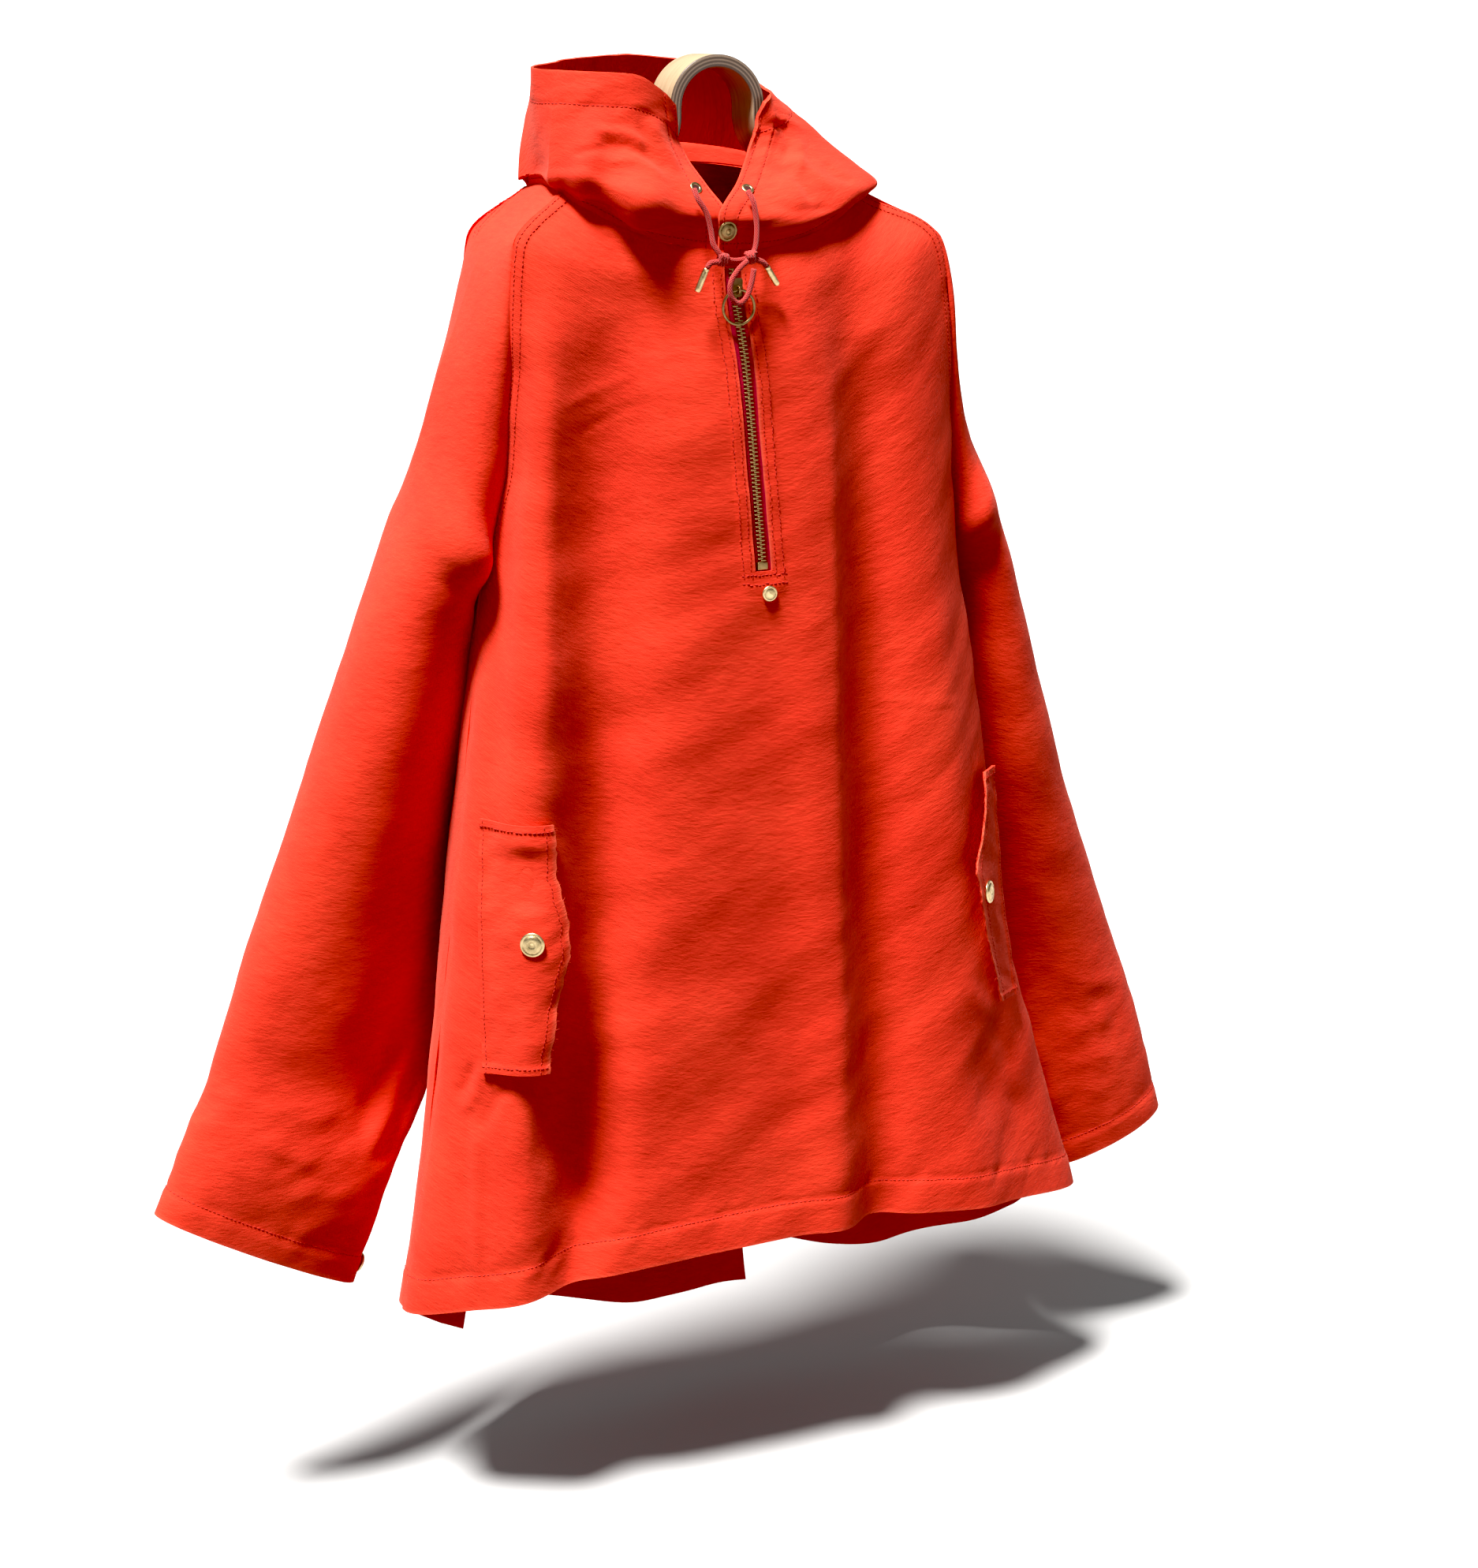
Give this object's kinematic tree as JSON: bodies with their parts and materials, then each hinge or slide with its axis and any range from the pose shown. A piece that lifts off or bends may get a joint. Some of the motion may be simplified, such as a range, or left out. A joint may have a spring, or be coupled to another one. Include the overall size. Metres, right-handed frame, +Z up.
{
  "type": "hooded pullover anorak on a bent plywood hanger",
  "caption": "Hooded cotton canvas pullover anorak with a half zip, drawcord, side pocket flaps and a drop tail, hanging open and empty on a looped plywood hanger.",
  "frame": {"origin": "underside of the hanger's loop at its top, where a peg or rail carries it", "axes": "+Z up, -Y out of the garment's front, +X to the right of a viewer who faces the front"},
  "size_m": [0.8895, 0.2554, 1.0226],
  "materials": {
    "canvas": "brushed heavy cotton canvas",
    "zip_tape": "woven tape",
    "cord": "braided cord",
    "brass": "pale antique",
    "dark_brass": "dark antique",
    "plywood": "clear matt lacquer"
  },
  "bodies": {
    "garment": {"front": "canvas", "back_left": "canvas", "back_right": "canvas", "sleeve_left": "canvas", "sleeve_right": "canvas", "hood_left": "canvas", "hood_right": "canvas", "pocket_flap_left": "canvas", "pocket_flap_right": "canvas", "zip_tape_left": "zip_tape", "zip_tape_right": "zip_tape", "zip_chain": "dark_brass", "zip_stop": "dark_brass", "zip_slider": "dark_brass", "eyelet_left": "brass", "eyelet_right": "brass", "flap_snap_left": "brass", "flap_snap_right": "brass", "neck_snap": "brass", "front_stud": "brass", "cuff_snap_left": "brass", "cuff_snap_right": "brass", "aglet_left": "brass", "aglet_right": "brass", "knot_left": "cord", "knot_right": "cord", "cord_left": "cord", "cord_right": "cord", "cord_tail_left": "cord", "cord_tail_right": "cord", "cord_bow": "cord", "cord_cross": "cord", "hanger": "plywood"},
    "ring": {"pull_ring": "dark_brass"}
  },
  "joints": [
    {"name": "ring_hinge", "type": "hinge", "parent": "garment", "child": "ring", "pos_m": [-0.015, -0.088, -0.15566], "axis": [1, 0, 0], "range_deg": [-30, 0]}
  ]
}
